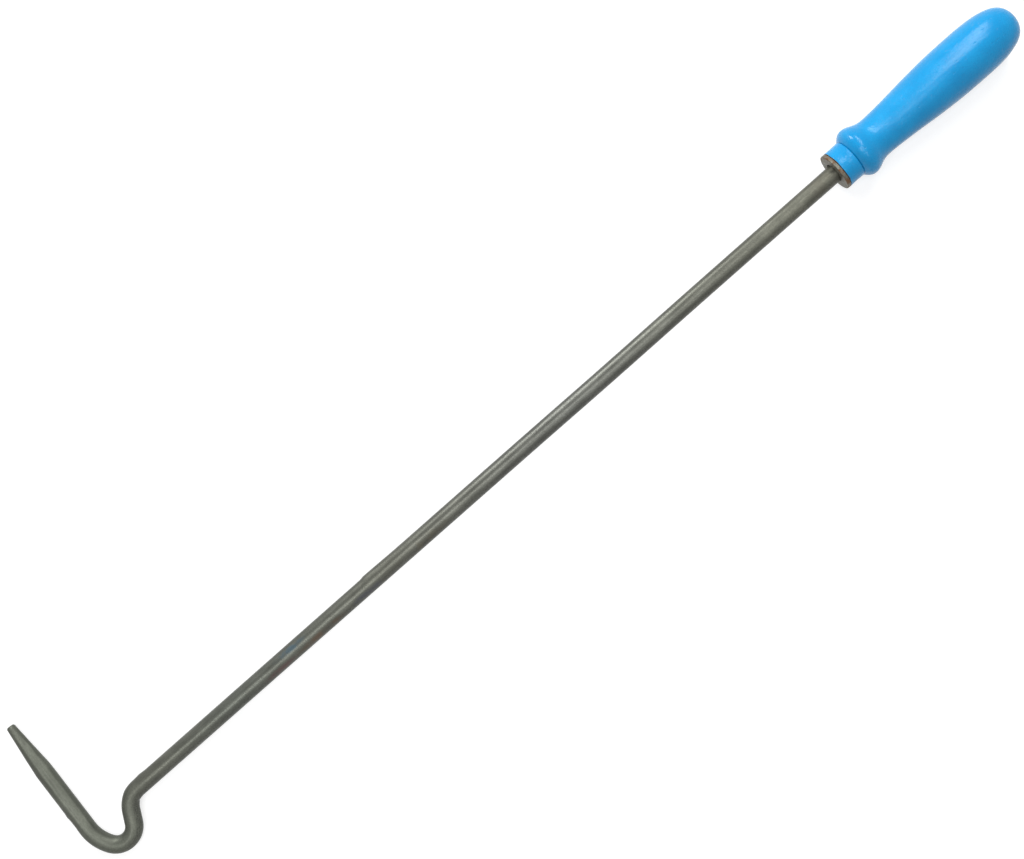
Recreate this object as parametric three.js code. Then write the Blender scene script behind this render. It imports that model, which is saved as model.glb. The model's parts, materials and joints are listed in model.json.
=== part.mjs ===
// Hooked hive tool: a long round steel bar, jogged and bent into a hook with a blunt point at one end,
// and driven as a tang into a turned wooden file handle at the other.
//
// The tool lies on a flat surface, z = 0, with its hook flat. Its long axis runs along X towards the
// handle, and the hook's leg points to +Y. It rests on the handle and on the hook, so the bar climbs
// slightly towards the handle. Millimetres.

import * as THREE from 'three';

// Bar
const barDiameter = 10;
const shankLength = 510;          // straight, from the jog to the washer's front face

// Hook, walked from the shank's end: jog, short straight, tight bend, opening bend, leg
const jogRadius = 13.8;           // bend radii are taken at the bar's centreline
const jogAngle = 60.5;
const jogStraight = 6.8;
const tightBendRadius = 10.5;
const tightBendAngle = 117.2;
const openBendRadius = 24.6;
const legLean = 4.4;              // degrees that the leg leans towards the handle
const legLength = 40;             // straight and full width
const pointLength = 31.3;         // forged taper from the leg to the blunt end
const pointEndDiameter = 5;
const pointEdgeRadius = 0.7;

// Tang, drawn down square inside the handle
const tangRoundLength = 22;       // still round, from the washer's front face
const tangTaperLength = 62;
const tangRootCut = 1.2;          // forged off each side of the bar at the tang's root
const tangPointWidth = 3;

// Washer and ferrule
const washerDiameter = 22.4;
const washerThickness = 2;
const washerEdgeRadius = 0.5;
const ferruleDiameter = 22.4;
const ferruleWall = 1.2;
const ferruleLength = 9.2;
const ferruleEdgeRadius = 0.5;

// Handle, measured from the shoulder behind the ferrule
const gripLength = 113.3;
const shoulderStep = 0.3;         // how far the shoulder stands proud of the ferrule
const beadDiameter = 29.7;
const beadPlace = 5.3;
const beadRise = 50;              // degrees, the outline's first slope behind the shoulder
const waistDiameter = 23.5;
const waistPlace = 17.2;
const bellyDiameter = 30.2;
const bellyPlace = 76;
const buttShoulderDiameter = 25.5;
const buttLength = 9.8;           // from the butt's shoulder to its end
const buttFall = 18;              // degrees, the outline's slope at the butt's shoulder
const buttFlatness = 0.56;        // 0 for a pointed butt, 1 for a flat one

// Clearances
const washerClearance = 0.5;      // round the bar in the washer
const seatGap = 0.3;              // between faces that touch
const tangClearance = 0.4;        // round the bar and the tang in the handle

// How finely the round shapes are cut
const barSides = 24;
const turnedSides = 36;
const bendStep = 7.5;             // degrees along a bend
const curvePoints = 7;            // points along one curve of the handle's outline

const barRadius = barDiameter / 2;
const openBendAngle = 180 + jogAngle - tightBendAngle - (90 - legLean);
const washerBack = washerThickness;
const ferruleFront = washerBack + seatGap;
const ferruleBack = ferruleFront + ferruleLength;
const shoulderPlace = ferruleBack + seatGap;
const shoulderDiameter = ferruleDiameter + 2 * shoulderStep;
const buttShoulderPlace = gripLength - buttLength;

const rad = THREE.MathUtils.degToRad;

function steel() {
  return new THREE.MeshStandardMaterial({ color: 0x74746a, roughness: 0.42, metalness: 0.9 });
}

function wornSteel() {
  return new THREE.MeshStandardMaterial({ color: 0x6b6455, roughness: 0.6, metalness: 0.75 });
}

function blueLacquer() {
  return new THREE.MeshStandardMaterial({ color: 0x2f9ee0, roughness: 0.35, metalness: 0 });
}

// A station is one cross-section of the bar: where it is, which way the bar runs there, its half width
// and how square it is, from 0 for round to 1 for square.
function station(x, y, heading, halfWidth, squareness = 0) {
  return { x, y, heading, halfWidth, squareness };
}

function straightOn(from, length, halfWidth = from.halfWidth, squareness = 0) {
  const x = from.x + length * Math.cos(from.heading);
  const y = from.y + length * Math.sin(from.heading);
  return station(x, y, from.heading, halfWidth, squareness);
}

// The stations along a bend that starts at one station. A positive turn is to the left.
function bend(from, radius, degrees) {
  const side = Math.sign(degrees);
  const centreX = from.x - side * radius * Math.sin(from.heading);
  const centreY = from.y + side * radius * Math.cos(from.heading);
  const count = Math.ceil(Math.abs(degrees) / bendStep);
  const stations = [];
  for (let i = 1; i <= count; i += 1) {
    const heading = from.heading + rad(degrees) * i / count;
    const x = centreX + side * radius * Math.sin(heading);
    const y = centreY - side * radius * Math.cos(heading);
    stations.push(station(x, y, heading, from.halfWidth));
  }
  return stations;
}

// The tang's point to the washer: the tang is square and tapered, and becomes the round bar.
function tangStations() {
  const pointX = tangRoundLength + tangTaperLength;
  const towardsHook = Math.PI;
  const blend = tangTaperLength / 8;
  return [
    station(pointX, 0, towardsHook, tangPointWidth / 2, 1),
    station(tangRoundLength + blend, 0, towardsHook, barRadius - tangRootCut, 1),
    station(tangRoundLength, 0, towardsHook, barRadius),
  ];
}

// The blunt end of the point: a flat face inside a rounded edge.
function bluntEnd(from) {
  const endRadius = pointEndDiameter / 2;
  return [30, 60, 90].map((degrees) => {
    const along = pointEdgeRadius * Math.sin(rad(degrees));
    const inward = pointEdgeRadius * (1 - Math.cos(rad(degrees)));
    return straightOn(from, along, endRadius - inward);
  });
}

function barStations() {
  const stations = tangStations();
  const add = (...more) => stations.push(...more);
  const last = () => stations[stations.length - 1];
  add(station(-shankLength, 0, Math.PI, barRadius));
  add(...bend(last(), jogRadius, jogAngle));
  add(straightOn(last(), jogStraight));
  add(...bend(last(), tightBendRadius, -tightBendAngle));
  add(...bend(last(), openBendRadius, -openBendAngle));
  add(straightOn(last(), legLength));
  add(straightOn(last(), pointLength - pointEdgeRadius, pointEndDiameter / 2));
  add(...bluntEnd(last()));
  return stations;
}

// A section's outline runs from a circle to a square with rounded corners.
function squared(value, squareness) {
  const power = THREE.MathUtils.lerp(1, 0.4, squareness);
  return Math.sign(value) * Math.abs(value) ** power;
}

// A closed cylinder with one ring per station, each ring moved onto its own station.
function barGeometry(stations) {
  const steps = stations.length - 1;
  const geometry = new THREE.CylinderGeometry(1, 1, 1, barSides, steps);
  const position = geometry.attributes.position;
  for (let i = 0; i < position.count; i += 1) {
    const at = stations[Math.round((0.5 - position.getY(i)) * steps)];
    const across = at.halfWidth * squared(position.getX(i), at.squareness);
    const up = at.halfWidth * squared(position.getZ(i), at.squareness);
    position.setXYZ(i, at.x - across * Math.sin(at.heading), at.y + across * Math.cos(at.heading), up);
  }
  return geometry;
}

// A quarter-round edge of an outline, about a centre, from one angle to another in degrees.
function roundEdge(centreRadius, centrePlace, edgeRadius, from, to) {
  const curve = new THREE.EllipseCurve(centreRadius, centrePlace, edgeRadius, edgeRadius,
    rad(from), rad(to), to < from);
  return curve.getPoints(3);
}

// Turned pieces: an outline of (radius, place along the bar) spun about the bar's axis. Outlines run
// towards the handle on the outside and back towards the hook on the inside.
function turnedMesh(name, outline, material) {
  const geometry = new THREE.LatheGeometry(outline, turnedSides);
  const mesh = new THREE.Mesh(geometry, material);
  mesh.name = name;
  mesh.rotation.z = -Math.PI / 2;
  return mesh;
}

function hookBar() {
  const mesh = new THREE.Mesh(barGeometry(barStations()), steel());
  mesh.name = 'hook_bar';
  return mesh;
}

function stopWasher() {
  const outer = washerDiameter / 2 - washerEdgeRadius;
  const hole = barRadius + washerClearance;
  const outline = [
    new THREE.Vector2(hole, 0),
    ...roundEdge(outer, washerEdgeRadius, washerEdgeRadius, -90, 0),
    ...roundEdge(outer, washerBack - washerEdgeRadius, washerEdgeRadius, 0, 90),
    new THREE.Vector2(hole, washerBack),
    new THREE.Vector2(hole, 0),
  ];
  return turnedMesh('stop_washer', outline, wornSteel());
}

function ferrule() {
  const outer = ferruleDiameter / 2;
  const bore = outer - ferruleWall;
  const edge = outer - ferruleEdgeRadius;
  const outline = [
    new THREE.Vector2(bore, ferruleFront),
    ...roundEdge(edge, ferruleFront + ferruleEdgeRadius, ferruleEdgeRadius, -90, 0),
    new THREE.Vector2(outer, ferruleBack),
    new THREE.Vector2(bore, ferruleBack),
    new THREE.Vector2(bore, ferruleFront),
  ];
  return turnedMesh('ferrule', outline, blueLacquer());
}

// One curve of the handle's outline, without its start. Each end pulls the curve along its own slope.
function easedCurve(start, startPull, endPull, end) {
  return new THREE.CubicBezierCurve(start, startPull, endPull, end).getPoints(curvePoints).slice(1);
}

// The point that pulls a curve at one of its ends: a run along the handle, with the outline rising by
// an angle towards the butt.
function pull(end, run, rise = 0) {
  return new THREE.Vector2(end.x + run * Math.tan(rad(rise)), end.y + run);
}

// The turned outline behind the shoulder: a half-round bead, a waist, a long belly and a round butt.
function gripOutline() {
  const at = (diameter, place) => new THREE.Vector2(diameter / 2, shoulderPlace + place);
  const shoulder = at(shoulderDiameter, 0);
  const bead = at(beadDiameter, beadPlace);
  const waist = at(waistDiameter, waistPlace);
  const belly = at(bellyDiameter, bellyPlace);
  const buttShoulder = at(buttShoulderDiameter, buttShoulderPlace);
  const butt = at(0, gripLength);
  const buttRoundness = new THREE.Vector2(buttShoulder.x * buttFlatness, butt.y);
  const beadRun = waistPlace - beadPlace;
  const bellyRun = bellyPlace - waistPlace;
  const backRun = buttShoulderPlace - bellyPlace;
  return [
    shoulder,
    ...easedCurve(shoulder, pull(shoulder, beadPlace / 5, beadRise), pull(bead, -beadPlace / 2), bead),
    ...easedCurve(bead, pull(bead, beadRun / 3), pull(waist, -beadRun / 2), waist),
    ...easedCurve(waist, pull(waist, bellyRun / 4), pull(belly, -bellyRun / 2.4), belly),
    ...easedCurve(belly, pull(belly, backRun / 2), pull(buttShoulder, -backRun / 4, -buttFall),
      buttShoulder),
    ...easedCurve(buttShoulder, pull(buttShoulder, buttLength / 2.2, -buttFall), buttRoundness, butt),
  ];
}

function handle() {
  const spigot = ferruleDiameter / 2 - ferruleWall - seatGap;
  const bore = barRadius + tangClearance;
  const boreEnd = tangPointWidth / 2 * Math.SQRT2 + tangClearance;
  const boreBottom = tangRoundLength + tangTaperLength + tangClearance;
  const outline = [
    new THREE.Vector2(0, boreBottom),
    new THREE.Vector2(boreEnd, boreBottom),
    new THREE.Vector2(bore, tangRoundLength + tangTaperLength / 3),
    new THREE.Vector2(bore, ferruleFront),
    new THREE.Vector2(spigot, ferruleFront),
    new THREE.Vector2(spigot, shoulderPlace),
    ...gripOutline(),
  ];
  return turnedMesh('handle', outline, blueLacquer());
}

// The tool rests on the bottom of the leg and on whichever place along the handle is met first by a
// flat surface that swings up under it.
function restingAngle() {
  const legX = Math.min(...barStations().map((at) => at.x));
  const slopes = gripOutline().map((at) => Math.atan2(at.x - barRadius, at.y - legX));
  return Math.max(...slopes);
}

function hiveTool() {
  const tool = new THREE.Group();
  tool.add(hookBar(), stopWasher(), ferrule(), handle());
  tool.rotation.y = -restingAngle();

  const part = new THREE.Group();
  part.add(tool);
  part.updateMatrixWorld(true);
  const box = new THREE.Box3().setFromObject(part, true);
  const middle = box.getCenter(new THREE.Vector3());
  tool.position.set(-middle.x, -middle.y, -box.min.z);
  return part;
}

export default hiveTool();
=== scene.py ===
import bmesh
import bpy
import json
import math
from mathutils import Matrix, Vector, noise


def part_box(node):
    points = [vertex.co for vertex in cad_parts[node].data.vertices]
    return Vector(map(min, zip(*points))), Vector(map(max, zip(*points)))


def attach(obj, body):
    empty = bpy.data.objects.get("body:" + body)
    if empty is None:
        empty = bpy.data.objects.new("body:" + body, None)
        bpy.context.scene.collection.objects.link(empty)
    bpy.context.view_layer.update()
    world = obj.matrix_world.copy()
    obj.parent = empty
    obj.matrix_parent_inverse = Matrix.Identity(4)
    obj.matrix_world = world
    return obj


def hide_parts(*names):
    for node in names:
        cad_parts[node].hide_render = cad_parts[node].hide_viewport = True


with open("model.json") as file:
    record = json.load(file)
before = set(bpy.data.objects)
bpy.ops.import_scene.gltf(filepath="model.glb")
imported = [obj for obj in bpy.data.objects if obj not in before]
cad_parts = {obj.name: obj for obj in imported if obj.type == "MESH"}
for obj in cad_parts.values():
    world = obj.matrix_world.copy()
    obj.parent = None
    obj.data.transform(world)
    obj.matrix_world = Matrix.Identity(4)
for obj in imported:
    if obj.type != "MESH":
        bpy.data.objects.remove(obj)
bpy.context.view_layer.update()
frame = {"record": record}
mm = 0.001

# CAMERA AND LIGHT
# The tool lies on a white table top and is looked at from almost straight above. A long lamp hangs over
# the bar, a tall soft window and a low lamp stand on the hook leg's side, and a small lamp faces them.
camera_data = bpy.data.cameras.new("camera")
camera_data.sensor_width = 36
camera_data.lens = 50.14
camera_data.clip_start = 0.01
camera_data.clip_end = 50
camera = bpy.data.objects.new("camera", camera_data)
camera.rotation_euler = (-0.0287, 0.0200, -0.7241)
looked_at = Vector((-8.29, -13.31, 10)) * mm
camera.location = looked_at + camera.rotation_euler.to_matrix() @ Vector((0, 0, 780.4)) * mm
bpy.context.scene.collection.objects.link(camera)
bpy.context.scene.camera = camera
bpy.context.scene.view_settings.view_transform = "Standard"


def put(tree, kind, inputs=None, **choices):
    """Adds one shader node. An input is given by its name or its number, as a value or a linked socket."""
    node = tree.nodes.new("ShaderNode" + kind)
    for choice, setting in choices.items():
        setattr(node, choice, setting)
    for socket, value in (inputs or {}).items():
        if isinstance(value, bpy.types.NodeSocket):
            tree.links.new(value, node.inputs[socket])
        else:
            node.inputs[socket].default_value = value
    return node


def maths(tree, operation, first, second=0.0, third=0.0, clamp=False):
    """One sum on numbers or sockets. MULTIPLY_ADD is first times second plus third."""
    inputs = {0: first, 1: second, 2: third}
    return put(tree, "Math", inputs, operation=operation, use_clamp=clamp).outputs[0]


def mirrored_or_seen(tree):
    """1 for what the camera sees straight or in metal and glass, 0 for the light that falls on things."""
    path = put(tree, "LightPath")
    seen = path.outputs["Is Camera Ray"]
    seen_or_mirrored = maths(tree, "MAXIMUM", seen, path.outputs["Is Glossy Ray"])
    return maths(tree, "MAXIMUM", seen_or_mirrored, path.outputs["Is Transmission Ray"])


room_light = 0.14  # how much the white room adds to the light of the lamps
world = bpy.data.worlds.new("white_room")
world.use_nodes = True
bpy.context.scene.world = world
white_room = world.node_tree
background = white_room.nodes["Background"]
background.inputs["Color"].default_value = (1, 1, 1, 1)
room_seen = mirrored_or_seen(white_room)
room_strength = maths(white_room, "MULTIPLY_ADD", room_seen, 1 - room_light, room_light)
white_room.links.new(room_strength, background.inputs["Strength"])


def hang_lamp(name, place, aim, width, height, power):
    """A soft rectangular lamp at one place that shines towards another."""
    lamp_data = bpy.data.lights.new(name, "AREA")
    lamp_data.shape = "RECTANGLE"
    lamp_data.size = width
    lamp_data.size_y = height
    lamp_data.energy = power
    lamp = bpy.data.objects.new(name, lamp_data)
    lamp.location = place
    lamp.rotation_euler = (Vector(aim) - Vector(place)).to_track_quat("-Z", "Y").to_euler()
    bpy.context.scene.collection.objects.link(lamp)
    return lamp


hang_lamp("long_lamp", (-0.36, -0.02, 1.50), (-0.36, 0, 0), 1.60, 0.48, 12.6)
hang_lamp("soft_window", (0.93, 0.92, 1.16), (0.62, 0, 0), 0.42, 1.50, 18.0)
hang_lamp("low_lamp", (0.04, 1.38, 0.50), (0.03, 0, 0), 0.40, 0.60, 13.0)
hang_lamp("side_lamp", (0.09, -0.78, 1.42), (0.03, 0, 0), 0.42, 0.45, 2.6)

table_mesh = bpy.data.meshes.new("table_top")
table_net = bmesh.new()
table_half = 6
bmesh.ops.create_grid(table_net, x_segments=8, y_segments=8, size=table_half)
table_net.to_mesh(table_mesh)
table_net.free()
table_top = bpy.data.objects.new("table_top", table_mesh)
bpy.context.scene.collection.objects.link(table_top)
table_white = bpy.data.materials.new("table_white")
table_white.use_nodes = True
white = table_white.node_tree
white.nodes.remove(white.nodes["Principled BSDF"])
matt_white = put(white, "BsdfDiffuse", {"Color": (0.50, 0.50, 0.50, 1)})
glow_near = 0.64
glow_far = 1.0
spot = put(white, "TexCoord").outputs["Object"]
out_from_tool = put(white, "VectorMath", {0: spot}, operation="LENGTH").outputs["Value"]
beyond_lamps = maths(white, "MULTIPLY_ADD", out_from_tool, 0.30, -0.21, clamp=True)
table_glow = maths(white, "MULTIPLY_ADD", beyond_lamps, glow_far - glow_near, glow_near)
glow = put(white, "Emission", {"Strength": maths(white, "MULTIPLY", mirrored_or_seen(white), table_glow)})
both = put(white, "AddShader", {0: matt_white.outputs[0], 1: glow.outputs[0]})
white.links.new(both.outputs[0], white.nodes["Material Output"].inputs["Surface"])
table_mesh.materials.append(table_white)

# HOOK BAR
# A 10 mm round bar of drawn steel, straight for half a metre, then jogged aside and bent back into a hook.
# The hook's leg is forged down to a blunt point, and the other end is drawn square as a tang.
bar_radius = 5 * mm
shank = 510 * mm
jog_radius = 13.8 * mm
jog_turn = 60.5
jog_straight = 6.8 * mm
tight_radius = 10.5 * mm
tight_turn = 117.2
open_radius = 24.6 * mm
leg_lean = 4.4
open_turn = 180 + jog_turn - tight_turn - (90 - leg_lean)
leg = 40 * mm
point = 31.3 * mm
point_end_radius = 2.5 * mm
point_edge = 1.3 * mm
tang_round = 22 * mm
tang_taper = 62 * mm
tang_root_cut = 1.2 * mm
tang_point_half = 1.5 * mm

# where the tool's own axes lie: x along the bar from the washer's front face, y the leg's way
washer_low, washer_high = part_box("stop_washer")
washer_thickness = 2 * mm
washer_mount = next(m for m in frame["record"]["mounts"] if m["name"] == "washer_face")
rise = math.asin(-washer_mount["axis"][2])
tilt = Matrix.Rotation(-rise, 4, "Y")
washer_front = (washer_low + washer_high) / 2 - tilt @ Vector((washer_thickness / 2, 0, 0))
lie = Matrix.Translation(washer_front) @ tilt


class Station:
    """One cross-section of the bar: its middle, the way the bar runs there and how far along it is."""

    def __init__(self, x, y, heading, along):
        self.x = x
        self.y = y
        self.heading = heading
        self.along = along


def run_straight(walk, length, step):
    """Carries the walk on in a straight line, with a station about every step."""
    start = walk[-1]
    count = max(1, round(length / step))
    for i in range(1, count + 1):
        gone = length * i / count
        x = start.x + gone * math.cos(start.heading)
        y = start.y + gone * math.sin(start.heading)
        walk.append(Station(x, y, start.heading, start.along + gone))


def run_bend(walk, radius, degrees, step):
    """Carries the walk on round a bend. Positive degrees turn left, and the step is in degrees."""
    start = walk[-1]
    side = math.copysign(1, degrees)
    middle_x = start.x - side * radius * math.sin(start.heading)
    middle_y = start.y + side * radius * math.cos(start.heading)
    count = math.ceil(abs(degrees) / step)
    for i in range(1, count + 1):
        turned = math.radians(degrees) * i / count
        heading = start.heading + turned
        x = middle_x + side * radius * math.sin(heading)
        y = middle_y - side * radius * math.cos(heading)
        walk.append(Station(x, y, heading, start.along + abs(turned) * radius))


bar_walk = [Station(tang_round + tang_taper, 0, math.pi, -tang_round - tang_taper)]
run_straight(bar_walk, tang_taper, 4 * mm)
run_straight(bar_walk, tang_round, 2 * mm)
run_straight(bar_walk, shank, 1.5 * mm)
jog_start = bar_walk[-1].along
run_bend(bar_walk, jog_radius, jog_turn, 3)
run_straight(bar_walk, jog_straight, 0.8 * mm)
tight_start = bar_walk[-1].along
run_bend(bar_walk, tight_radius, -tight_turn, 4)
run_bend(bar_walk, open_radius, -open_turn, 2)
leg_start = bar_walk[-1].along
run_straight(bar_walk, leg, 0.8 * mm)
leg_end = bar_walk[-1].along
run_straight(bar_walk, point - point_edge, 0.8 * mm)
edge_start = bar_walk[-1].along
run_straight(bar_walk, point_edge * 0.7, point_edge / 8)
run_straight(bar_walk, point_edge * 0.3, point_edge / 30)


def eased(value, low, high):
    """0 up to low and 1 from high, with a soft start and end between."""
    share = min(1, max(0, (value - low) / (high - low)))
    return share * share * (3 - 2 * share)


def mound(value, middle, width):
    """1 at the middle, falling away like a bell on both sides."""
    return math.exp(-((value - middle) / width) ** 2)


def way_round(angle, middle, width):
    """1 on one side of the bar, fading to 0 within so many degrees of it."""
    off = (math.degrees(angle) - middle + 180) % 360 - 180
    return math.exp(-(off / width) ** 2)


def bar_half_width(along):
    """Half the bar's thickness: a drawn tang, a round bar, a forged taper and the point's rounded end."""
    if along < -tang_round:
        share = (-tang_round - along) / tang_taper
        root = bar_radius - tang_root_cut * eased(share, 0, 1 / 8)
        drawn = (bar_radius - tang_root_cut) + (tang_point_half - bar_radius + tang_root_cut) * share
        return min(root, drawn)
    if along > edge_start:
        into = min(1, (along - edge_start) / point_edge)
        return point_end_radius - point_edge * (1 - math.sqrt(max(0, 1 - into * into)))
    if along > leg_end:
        share = (along - leg_end) / (point - point_edge)
        return bar_radius + (point_end_radius - bar_radius) * share
    return bar_radius


def squareness(along):
    """0 where the bar is round and 1 on the square tang."""
    return eased(-along, tang_round, tang_round + tang_taper / 8)


def forged_amount(along):
    """How hammered the bar is: the hook was worked hot, the shank only straightened."""
    return eased(along, jog_start - 8 * mm, jog_start + 12 * mm)


# a raised burr on the shank, and the hammer's marks on the hook as
# (height, place along the bar, length, side of the bar in degrees, width in degrees)
burr_place = 338.4 * mm
burr_length = 36 * mm
burr_height = 0.42 * mm
hammer_marks = [
    (0.26, leg_start + 11.6 * mm, 1.3 * mm, 10, 34),
    (-0.16, leg_start + 5.0 * mm, 4.0 * mm, 20, 30),
    (0.30, 505 * mm, 2.6 * mm, 180, 40),
    (0.24, jog_start + 5.5 * mm, 3.0 * mm, 180, 40),
    (-0.20, jog_start + 7.0 * mm, 4.5 * mm, 0, 42),
    (-0.40, jog_start + 7.1 * mm, 1.1 * mm, 0, 45),
    (0.14, tight_start + 9.0 * mm, 3.0 * mm, 80, 30),
    (-0.16, leg_end - 0.5 * mm, 1.6 * mm, 178, 30),
    (0.14, leg_end + 4.0 * mm, 3.0 * mm, 178, 30),
    (-0.26, leg_end + 18.6 * mm, 2.6 * mm, 132, 16),
    (0.10, leg_end + 12 * mm, 5.0 * mm, 0, 34),
]


def bar_offset(along, angle):
    """How far the real surface stands off a true round bar there."""
    worked = forged_amount(along)
    off = 0.0
    if burr_place - burr_length < along < burr_place + 2 * mm:
        climb = 1 - eased(along, burr_place - 0.2 * mm, burr_place + 0.9 * mm)
        fade = eased(along, burr_place - burr_length, burr_place)
        off += burr_height * climb * fade ** 1.5 * way_round(angle, 168, 34)
    if along > jog_start - 12 * mm:
        for height, place, length, side, width in hammer_marks:
            off += height * mm * mound(along, place, length) * way_round(angle, side, width)
    spot = Vector((math.cos(angle) * 5, math.sin(angle) * 5, along / mm))
    off += (0.010 + 0.025 * worked) * mm * noise.noise(spot * 0.16 + Vector((3, 1, 7)))
    off += (0.005 + 0.008 * worked) * mm * noise.noise(spot * 0.7 + Vector((11, 5, 2)))
    return off


def leg_flat(along, angle):
    """The hammer flattened the top of the leg, so that a crisp ridge runs up its outer side."""
    worked = eased(along, leg_start - 10 * mm, leg_start + 8 * mm)
    worked *= 1 - eased(along, leg_end + 14 * mm, edge_start)
    half_flat = 28
    flat_faces = 118
    crisp_ridge = 0.002
    soft_ridge = 0.030
    off_middle = math.degrees(angle) - flat_faces
    if abs(off_middle) > 60:
        return 1.0
    chord = math.cos(math.radians(half_flat)) / math.cos(math.radians(off_middle))
    softness = crisp_ridge if off_middle < 0 else soft_ridge
    cut = 0.5 * (1 - chord + math.hypot(1 - chord, softness)) - 0.5 * softness
    return 1 - worked * max(0, cut)


def bar_middle(along):
    """The straightened bar still wanders sideways by a fifth of a millimetre."""
    bow = 0.20 * mm
    return bow * mound(along, 163 * mm, 42 * mm)


bar_sides = 48


def bar_mesh(walk):
    net = bmesh.new()
    straightened = net.verts.layers.float_vector.new("straightened")
    rings = []
    for at in walk:
        half = bar_half_width(at.along)
        square = squareness(at.along)
        power = 1 - 0.6 * square
        ring = []
        for i in range(bar_sides):
            angle = 2 * math.pi * i / bar_sides
            across = math.copysign(abs(math.cos(angle)) ** power, math.cos(angle))
            up = math.copysign(abs(math.sin(angle)) ** power, math.sin(angle))
            reach = half * leg_flat(at.along, angle) + bar_offset(at.along, angle) * (half / bar_radius)
            across = across * reach + bar_middle(at.along)
            up = up * reach
            place = Vector((at.x - across * math.sin(at.heading), at.y + across * math.cos(at.heading), up))
            vert = net.verts.new(lie @ place)
            vert[straightened] = (at.along, across, up)
            ring.append(vert)
        rings.append(ring)
    for ring, following in zip(rings, rings[1:]):
        for i in range(bar_sides):
            j = (i + 1) % bar_sides
            net.faces.new((ring[i], ring[j], following[j], following[i]))
    close_end(net, rings[0], straightened, False)
    close_end(net, rings[-1], straightened, True)
    return net


def close_end(net, ring, straightened, outward):
    """A flat end: rings that shrink towards one middle point."""
    middle = sum((v.co for v in ring), Vector()) / len(ring)
    middle_place = sum((v[straightened] for v in ring), Vector()) / len(ring)
    for share in (0.66, 0.33):
        smaller = []
        for vert in ring:
            inner = net.verts.new(middle.lerp(vert.co, share))
            inner[straightened] = middle_place.lerp(vert[straightened], share)
            smaller.append(inner)
        for i in range(len(ring)):
            j = (i + 1) % len(ring)
            net.faces.new((ring[i], ring[j], smaller[j], smaller[i]))
        ring = smaller
    centre = net.verts.new(middle)
    centre[straightened] = middle_place
    for i in range(len(ring)):
        j = (i + 1) % len(ring)
        net.faces.new((ring[i], ring[j], centre))


def finish_piece(name, net, material, node):
    """Turns a net into a smooth-shaded piece that stands for its CAD node."""
    bmesh.ops.recalc_face_normals(net, faces=net.faces)
    mesh = bpy.data.meshes.new(name)
    net.to_mesh(mesh)
    net.free()
    mesh.shade_smooth()
    mesh.materials.append(material)
    piece = bpy.data.objects.new(name, mesh)
    bpy.context.scene.collection.objects.link(piece)
    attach(piece, "root")
    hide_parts(node)
    return piece


def new_finish(name, metal, gloss):
    """A material with the sockets that are the same all over set, and its tree and shader."""
    finish = bpy.data.materials.new(name)
    finish.use_nodes = True
    shader = finish.node_tree.nodes["Principled BSDF"]
    shader.inputs["Metallic"].default_value = metal
    shader.inputs["Specular IOR Level"].default_value = gloss
    return finish, finish.node_tree, shader


def ramp(tree, value, stops):
    """Colours laid out along a value from 0 to 1."""
    node = put(tree, "ValToRGB", {0: value})
    band = node.color_ramp
    while len(band.elements) < len(stops):
        band.elements.new(0.5)
    for element, (place, colour) in zip(band.elements, stops):
        element.position = place
        element.color = (*colour, 1)
    return node.outputs[0]


def grains(tree, where, scale, detail=4, roughness=0.55):
    """Cloudy noise round about 0.5. A bigger scale is finer."""
    inputs = {"Vector": where, "Scale": scale, "Detail": detail, "Roughness": roughness}
    return put(tree, "TexNoise", inputs).outputs[0]


def stretched(tree, where, along, across):
    """The place on the piece, stretched so that a pattern runs lengthwise."""
    inputs = {"Vector": where, "Scale": (along, across, across)}
    return put(tree, "Mapping", inputs).outputs[0]


def mixed(tree, share, first, second, blend="MIX"):
    """The first colour, with so much of the second laid over it."""
    inputs = {0: share, 6: first, 7: second}
    return put(tree, "Mix", inputs, data_type="RGBA", blend_type=blend).outputs[2]


def spread(tree, value, low, high, to_low=0.0, to_high=1.0):
    """A soft step from to_low at low to to_high at high."""
    inputs = {0: value, 1: low, 2: high, 3: to_low, 4: to_high}
    return put(tree, "MapRange", inputs, interpolation_type="SMOOTHSTEP").outputs[0]


def patch(tree, where, middle, size):
    """1 at one place on the piece, fading to 0 at the patch's edge. Its size is a half length per axis."""
    stretch = tuple(1 / s for s in size)
    shift = tuple(-m / s for m, s in zip(middle, size))
    inputs = {"Vector": where, "Scale": stretch, "Location": shift}
    moved = put(tree, "Mapping", inputs).outputs[0]
    distance = put(tree, "VectorMath", {0: moved}, operation="LENGTH").outputs["Value"]
    return spread(tree, distance, 1.0, 0.25)


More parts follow.
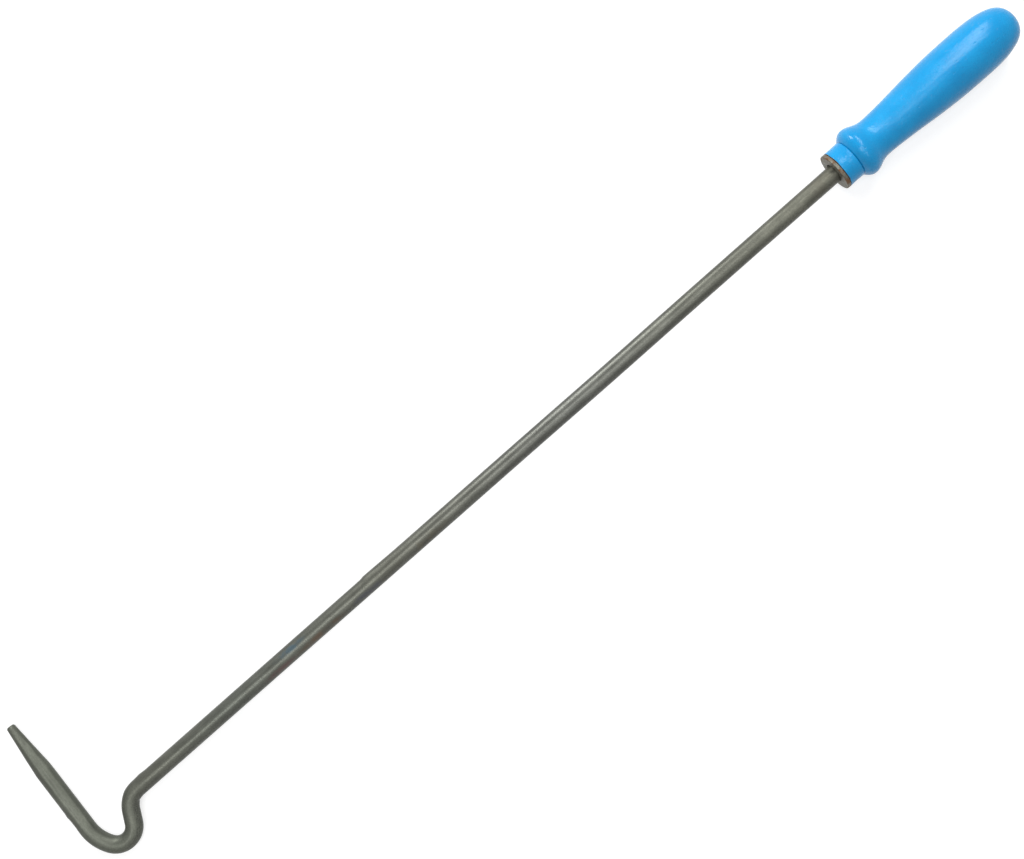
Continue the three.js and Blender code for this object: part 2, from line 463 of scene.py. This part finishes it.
def drawn_steel():
    """Grey-green drawn steel with fine draw lines, dark speckles on one side as painted shade, and heat
    tints.
    """
    finish, tree, shader = new_finish("drawn_steel", 0.85, 0.5)
    where = put(tree, "Attribute", attribute_name="straightened").outputs["Vector"]
    blotches = grains(tree, stretched(tree, where, 0.45, 1), 150, 6, 0.62)
    mottle = grains(tree, where, 1100, 3)
    streaks = grains(tree, stretched(tree, where, 0.025, 1), 1500, 4)
    tone = ramp(tree, blotches, [
        (0.28, (0.070, 0.072, 0.062)),
        (0.50, (0.090, 0.093, 0.080)),
        (0.70, (0.113, 0.116, 0.100)),
    ])
    run = put(tree, "SeparateXYZ", {0: where})
    drift = ramp(tree, maths(tree, "DIVIDE", run.outputs[0], 650 * mm), [
        (0.02, (1.00, 0.98, 0.90)),
        (0.17, (0.98, 0.98, 0.96)),
        (0.29, (0.95, 0.95, 1.00)),
        (0.50, (1.00, 0.99, 0.96)),
        (0.68, (0.96, 1.00, 1.00)),
        (0.76, (1.02, 1.02, 0.98)),
        (0.84, (1.02, 1.06, 1.00)),
    ])
    tone = mixed(tree, 1.0, tone, drift, "MULTIPLY")
    tone = mixed(tree, spread(tree, mottle, 0.36, 0.66, 0.0, 0.35), tone, (0.056, 0.057, 0.048, 1))
    tone = mixed(tree, spread(tree, streaks, 0.46, 0.70, 0.0, 0.16), tone, (0.170, 0.173, 0.152, 1))
    # Dark speckles laid on one side of the bar only: painted shade on that side.
    painted_shade_side = spread(tree, run.outputs[1], 1.2 * mm, 4.2 * mm)
    speckled_painted_shade = spread(tree, grains(tree, where, 1250, 2), 0.47, 0.60, 0.0, 0.6)
    speckled_painted_shade = maths(tree, "MULTIPLY", speckled_painted_shade, painted_shade_side)
    tone = mixed(tree, speckled_painted_shade, tone, (0.036, 0.036, 0.033, 1))
    cloudy = spread(tree, grains(tree, where, 95, 4), 0.40, 0.62)
    # each tint as (middle, half lengths, colour, strength)
    heat_tints = [
        ((394 * mm, -1.9 * mm, 4 * mm), (15 * mm, 2.3 * mm, 4 * mm), (0.055, 0.092, 0.118, 1), 0.8),
        ((374 * mm, 3.1 * mm, 4 * mm), (22 * mm, 2.6 * mm, 4 * mm), (0.110, 0.076, 0.052, 1), 0.7),
        ((404 * mm, 3.3 * mm, 4 * mm), (14 * mm, 2.6 * mm, 4 * mm), (0.108, 0.066, 0.064, 1), 0.7),
        ((340 * mm, 3.2 * mm, 4 * mm), (18 * mm, 3 * mm, 4 * mm), (0.066, 0.070, 0.088, 1), 0.6),
        ((300 * mm, 2.0 * mm, 4 * mm), (24 * mm, 4 * mm, 4 * mm), (0.108, 0.096, 0.066, 1), 0.5),
        ((250 * mm, -3.0 * mm, -3 * mm), (40 * mm, 5 * mm, 5 * mm), (0.100, 0.068, 0.048, 1), 0.6),
        ((120 * mm, 3.0 * mm, -3 * mm), (30 * mm, 5 * mm, 5 * mm), (0.096, 0.068, 0.048, 1), 0.6),
        ((8 * mm, 0, 2 * mm), (14 * mm, 6 * mm, 6 * mm), (0.074, 0.066, 0.050, 1), 0.6),
    ]
    for middle, size, colour, strength in heat_tints:
        here = maths(tree, "MULTIPLY", patch(tree, where, middle, size), cloudy)
        tone = mixed(tree, maths(tree, "MULTIPLY", here, strength), tone, colour)
    tree.links.new(tone, shader.inputs["Base Color"])
    rough = maths(tree, "MULTIPLY_ADD", blotches, 0.14, 0.28)
    rough = maths(tree, "MULTIPLY_ADD", mottle, 0.10, rough)
    worked = spread(tree, run.outputs[0], jog_start - 25 * mm, jog_start + 10 * mm)
    rough = maths(tree, "MULTIPLY_ADD", worked, 0.10, rough)
    tree.links.new(rough, shader.inputs["Roughness"])
    height = maths(tree, "MULTIPLY_ADD", streaks, 0.3, mottle)
    height = maths(tree, "MULTIPLY_ADD", blotches, 1.6, height)
    skin = put(tree, "Bump", {"Height": height, "Distance": 0.05 * mm, "Strength": 0.18})
    tree.links.new(skin.outputs[0], shader.inputs["Normal"])
    return finish


finish_piece("hook_bar_forged", bar_mesh(bar_walk), drawn_steel(), "hook_bar")

# STOP WASHER
# A punched steel disc, loose on the bar, that keeps the ferrule's mouth from spreading.
# One edge is rounded by the punch and the other has a small burr, and its rim is brown with rust.
washer_radius = 11.2 * mm
washer_hole = 5.5 * mm
turned_sides = 96


def head_shift(place):
    """The handle was driven on crooked: its head sits to one side of the bar and its butt to the other."""
    return 0.30 * mm - 0.0045 * max(0, place - 12 * mm)


def spin(outline, wobble):
    """Turns an outline of (place along the bar, radius) about the bar's axis into a closed ring of faces."""
    net = bmesh.new()
    turned = net.verts.layers.float_vector.new("turned")
    rows = []
    for place, radius in outline:
        row = []
        if radius < 0.001 * mm:
            lone = net.verts.new(lie @ Vector((place, head_shift(place), 0)))
            lone[turned] = (place, 0, 0)
            rows.append([lone])
            continue
        for i in range(turned_sides):
            angle = 2 * math.pi * i / turned_sides
            moved_place, moved_radius = wobble(place, radius, angle)
            y = moved_radius * math.cos(angle) + head_shift(place)
            z = moved_radius * math.sin(angle)
            vert = net.verts.new(lie @ Vector((moved_place, y, z)))
            vert[turned] = (place, y, z)
            row.append(vert)
        rows.append(row)
    pairs = list(zip(rows, rows[1:]))
    if len(rows[0]) > 1:
        pairs.append((rows[-1], rows[0]))
    for row, following in pairs:
        for i in range(turned_sides):
            j = (i + 1) % turned_sides
            corners = [row[i % len(row)], row[j % len(row)]]
            corners += [following[j % len(following)], following[i % len(following)]]
            net.faces.new(list(dict.fromkeys(corners)))
    return net


def quarter(middle_place, middle_radius, size, start, finish, steps=5):
    """A rounded edge from one angle to another. 0 degrees points outward and 90 towards the butt."""
    points = []
    for i in range(steps + 1):
        angle = math.radians(start + (finish - start) * i / steps)
        points.append((middle_place + size * math.sin(angle), middle_radius + size * math.cos(angle)))
    return points


def washer_outline():
    """The washer's section, once round: front face, rim, back and hole."""
    punch_edge = 0.5 * mm
    burr_edge = 0.3 * mm
    hole_edge = 0.25 * mm
    front = 0.0
    back = washer_thickness + 0.1 * mm
    width = washer_radius - washer_hole
    face = [(front, washer_hole + hole_edge + width * share) for share in (0.2, 0.5, 0.8)]
    rim = quarter(front + punch_edge, washer_radius - punch_edge, punch_edge, -90, 0)
    rim += [(front + washer_thickness * share, washer_radius) for share in (0.4, 0.6, 0.75)]
    rim += quarter(back - burr_edge, washer_radius - burr_edge, burr_edge, 0, 90, 3)
    hole = [(back, washer_hole)]
    hole += [(washer_thickness * share, washer_hole) for share in (0.7, 0.4)]
    hole += [(front + hole_edge, washer_hole), (front + 0.07 * mm, washer_hole + 0.1 * mm)]
    return [(front, washer_hole + hole_edge)] + face + rim + hole


def washer_wobble(place, radius, angle):
    """The rim is nicked and the faces are a little uneven."""
    spot = Vector((math.cos(angle) * 2.2, math.sin(angle) * 2.2, place / mm * 0.6))
    on_rim = eased(radius, washer_radius - 1.2 * mm, washer_radius)
    radius -= 0.11 * mm * on_rim * max(0, 0.35 + noise.noise(spot * 2.1 + Vector((4, 4, 1))))
    place += 0.05 * mm * noise.noise(spot * 1.3 + Vector((1, 9, 3)))
    place = min(washer_thickness + 0.15 * mm, max(0.0, place))
    return place, radius


def rusty_steel():
    """Bare mottled steel that has rusted brown in patches, mostly on the rim."""
    finish, tree, shader = new_finish("rusty_steel", 0.6, 0.5)
    where = put(tree, "Attribute", attribute_name="turned").outputs["Vector"]
    blotches = grains(tree, where, 260, 6, 0.6)
    mottle = grains(tree, where, 1500, 4)
    tone = ramp(tree, blotches, [
        (0.30, (0.086, 0.084, 0.064)),
        (0.52, (0.148, 0.148, 0.120)),
        (0.72, (0.215, 0.214, 0.184)),
    ])
    tone = mixed(tree, spread(tree, mottle, 0.40, 0.66, 0.0, 0.5), tone, (0.062, 0.052, 0.038, 1))
    middle_out = put(tree, "SeparateXYZ", {0: where})
    squared_y = maths(tree, "MULTIPLY", middle_out.outputs[1], middle_out.outputs[1])
    squared_r = maths(tree, "MULTIPLY_ADD", middle_out.outputs[2], middle_out.outputs[2], squared_y)
    radius = maths(tree, "SQRT", squared_r)
    rim = spread(tree, radius, washer_radius - 1.2 * mm, washer_radius - 0.2 * mm)
    rusted = spread(tree, grains(tree, where, 190, 5, 0.6), 0.42, 0.58)
    rust = maths(tree, "MULTIPLY", maths(tree, "MULTIPLY_ADD", rim, 0.75, 0.2), rusted)
    tone = mixed(tree, rust, tone, (0.125, 0.064, 0.030, 1))
    tree.links.new(tone, shader.inputs["Base Color"])
    rough = maths(tree, "MULTIPLY_ADD", rust, 0.25, maths(tree, "MULTIPLY_ADD", mottle, 0.2, 0.36))
    tree.links.new(rough, shader.inputs["Roughness"])
    height = maths(tree, "MULTIPLY_ADD", rusted, 0.8, maths(tree, "ADD", mottle, blotches))
    skin = put(tree, "Bump", {"Height": height, "Distance": 0.07 * mm, "Strength": 0.5})
    tree.links.new(skin.outputs[0], shader.inputs["Normal"])
    return finish


washer_net = spin(washer_outline(), washer_wobble)
finish_piece("stop_washer_disc", washer_net, rusty_steel(), "stop_washer")

# FERRULE
# A short steel tube, pressed on the handle's spigot so that the tang can't split the wood.
# Its mouth is rolled in, and it was dipped in the same blue lacquer as the handle.
ferrule_radius = 11.2 * mm
ferrule_wall = 1.2 * mm
ferrule_front = 2.3 * mm
ferrule_back = 11.5 * mm


def ferrule_outline():
    """The ferrule's section, once round: rolled mouth, a slightly sunk side, back and bore."""
    mouth_edge = 0.4 * mm
    bore = ferrule_radius - ferrule_wall
    outline = [(ferrule_front, bore + 0.1 * mm)]
    outline += quarter(ferrule_front + mouth_edge, ferrule_radius - mouth_edge, mouth_edge, -90, 0)
    for share in (0.2, 0.35, 0.5, 0.62, 0.7, 0.76, 0.82, 0.88, 0.94):
        place = ferrule_front + (ferrule_back - ferrule_front) * share
        sunk = 0.10 * mm * mound(share, 0.45, 0.25)
        outline.append((place, ferrule_radius - sunk))
    outline += quarter(ferrule_back - 0.35 * mm, ferrule_radius - 0.35 * mm, 0.35 * mm, 0, 90, 3)
    outline += [(ferrule_back, bore), (ferrule_front + 0.2 * mm, bore)]
    return outline


def ferrule_wobble(place, radius, angle):
    """Paint lies a little thicker in some places than in others."""
    spot = Vector((math.cos(angle) * 1.6, math.sin(angle) * 1.6, place / mm * 0.35))
    if radius > ferrule_radius - 0.5 * mm:
        radius -= 0.05 * mm * (0.5 + noise.noise(spot * 1.7))
    return place, radius


def blue_lacquer(name, over_steel):
    """Sky-blue lacquer with a fine peel. On steel its edge is bare, on wood grain and pits show through, the
    pits with painted shade.
    """
    finish, tree, shader = new_finish(name, 0.0, 0.25)
    where = put(tree, "Attribute", attribute_name="turned").outputs["Vector"]
    clouds = grains(tree, where, 70, 4)
    specks = grains(tree, where, 1300, 3)
    tone = ramp(tree, clouds, [
        (0.30, (0.003, 0.262, 0.572)),
        (0.50, (0.005, 0.286, 0.610)),
        (0.70, (0.008, 0.310, 0.645)),
    ])
    tone = mixed(tree, spread(tree, specks, 0.38, 0.66, 0.0, 0.30), tone, (0.005, 0.200, 0.500, 1))
    height = maths(tree, "MULTIPLY_ADD", grains(tree, where, 620, 2), 1.0, specks)
    if over_steel:
        along = put(tree, "SeparateXYZ", {0: where}).outputs[0]
        edge = maths(tree, "MULTIPLY_ADD", grains(tree, where, 240, 4), 1.3 * mm, along)
        bare = spread(tree, edge, ferrule_front + 0.95 * mm, ferrule_front + 0.75 * mm)
        tone = mixed(tree, bare, tone, (0.085, 0.075, 0.055, 1))
    else:
        grain = grains(tree, stretched(tree, where, 0.05, 1), 700, 4)
        height = maths(tree, "MULTIPLY_ADD", grain, 0.7, height)
        cells = put(tree, "TexVoronoi", {"Vector": stretched(tree, where, 0.4, 1), "Scale": 640})
        pit_and_painted_shade = spread(tree, cells.outputs["Distance"], 0.30, 0.10)
        sparse = spread(tree, grains(tree, where, 210, 3), 0.44, 0.58)
        pit_and_painted_shade = maths(tree, "MULTIPLY", pit_and_painted_shade, sparse)
        height = maths(tree, "SUBTRACT", height, maths(tree, "MULTIPLY", pit_and_painted_shade, 1.6))
        # The pits are darkened in colour too: painted shade in the pits.
        tone = mixed(tree, maths(tree, "MULTIPLY", pit_and_painted_shade, 0.16), tone, (0.008, 0.170, 0.420, 1))
        # A dark navy spot near the butt's edge, with a small dent.
        dark_butt_spot = patch(tree, where, (122.8 * mm, -7.2 * mm, 5.8 * mm), (4.2 * mm, 3.6 * mm, 3.0 * mm))
        dark_butt_spot = maths(tree, "MULTIPLY", dark_butt_spot, spread(tree, grains(tree, where, 420, 3), 0.40, 0.56))
        tone = mixed(tree, maths(tree, "MULTIPLY", dark_butt_spot, 0.9), tone, (0.006, 0.040, 0.105, 1))
        height = maths(tree, "SUBTRACT", height, maths(tree, "MULTIPLY", dark_butt_spot, 1.2))
    tree.links.new(tone, shader.inputs["Base Color"])
    rough = maths(tree, "MULTIPLY_ADD", clouds, 0.12, maths(tree, "MULTIPLY_ADD", specks, 0.10, 0.10))
    tree.links.new(rough, shader.inputs["Roughness"])
    skin = put(tree, "Bump", {"Height": height, "Distance": 0.12 * mm, "Strength": 0.50})
    tree.links.new(skin.outputs[0], shader.inputs["Normal"])
    return finish


ferrule_net = spin(ferrule_outline(), ferrule_wobble)
ferrule_paint = blue_lacquer("blue_paint_on_steel", True)
finish_piece("ferrule_tube", ferrule_net, ferrule_paint, "ferrule")

# HANDLE
# A file handle turned from hardwood, with a half-round bead, a waist, a long belly and a rounded butt.
# It is bored for the tang and dipped in sky-blue lacquer, which lies a little uneven over the grain.
grip = 112.9 * mm
shoulder_place = 11.8 * mm
shoulder_radius = 11.5 * mm
bead = (5.3 * mm, 14.85 * mm)
bead_rise = 50
waist = (17.2 * mm, 11.75 * mm)
belly = (76 * mm, 15.1 * mm)
butt_length = 9.4 * mm
butt_shoulder = (grip - butt_length, 12.75 * mm)
butt_fall = 18
butt_flatness = 0.70
spigot_radius = 9.7 * mm
bore_radius = 5.4 * mm
bore_end_radius = 2.52 * mm
bore_bottom = 84.4 * mm
curve_steps = 14


def pulled(place_and_radius, run, rise=0.0):
    """A point further along the bar, and higher where the outline rises by so many degrees."""
    place, radius = place_and_radius
    return place + run, radius + run * math.tan(math.radians(rise))


def eased_curve(start, start_pull, end_pull, end):
    """A smooth curve of the outline from one place to another, without its first point."""
    points = []
    for i in range(1, curve_steps + 1):
        t = i / curve_steps
        s = 1 - t
        weights = (s ** 3, 3 * s * s * t, 3 * s * t * t, t ** 3)
        corners = (start, start_pull, end_pull, end)
        place = sum(w * c[0] for w, c in zip(weights, corners))
        radius = sum(w * c[1] for w, c in zip(weights, corners))
        points.append((place, radius))
    return points


def grip_outline():
    """The turned outside: shoulder, bead, waist, belly and butt."""
    shoulder = (0.0, shoulder_radius)
    butt = (grip, 0.0)
    bead_run = waist[0] - bead[0]
    belly_run = belly[0] - waist[0]
    back_run = butt_shoulder[0] - belly[0]
    points = [shoulder]
    bead_start = pulled(shoulder, bead[0] / 5, bead_rise)
    points += eased_curve(shoulder, bead_start, pulled(bead, -bead[0] / 2), bead)
    points += eased_curve(bead, pulled(bead, bead_run / 3), pulled(waist, -bead_run / 2), waist)
    points += eased_curve(waist, pulled(waist, belly_run / 4), pulled(belly, -belly_run / 2.4), belly)
    butt_side = pulled(butt_shoulder, -back_run / 4, -butt_fall)
    points += eased_curve(belly, pulled(belly, back_run / 2), butt_side, butt_shoulder)
    butt_round = (grip, butt_shoulder[1] * butt_flatness)
    butt_start = pulled(butt_shoulder, butt_length / 2.2, -butt_fall)
    points += eased_curve(butt_shoulder, butt_start, butt_round, butt)
    return [(shoulder_place + place, radius) for place, radius in points]


def handle_outline():
    """The whole section: the blind bore, the spigot inside the ferrule, and the outside."""
    bore = [
        (bore_bottom, 0.0),
        (bore_bottom, bore_end_radius),
        (tang_round + tang_taper / 3, bore_radius),
        (ferrule_front, bore_radius),
        (ferrule_front, spigot_radius),
        (shoulder_place, spigot_radius),
    ]
    return bore + grip_outline()


def handle_wobble(place, radius, angle):
    """Turned by hand and dipped, so the outline is true to about a tenth of a millimetre."""
    if radius < shoulder_radius - 0.1 * mm and place < grip:
        return place, radius
    spot = Vector((math.cos(angle) * 0.9, math.sin(angle) * 0.9, place / mm * 0.05))
    radius += 0.09 * mm * noise.noise(spot * 1.4 + Vector((2, 8, 5))) * min(1, radius / shoulder_radius)
    return place, radius


handle_net = spin(handle_outline(), handle_wobble)
finish_piece("handle_turned", handle_net, blue_lacquer("blue_lacquer", False), "handle")
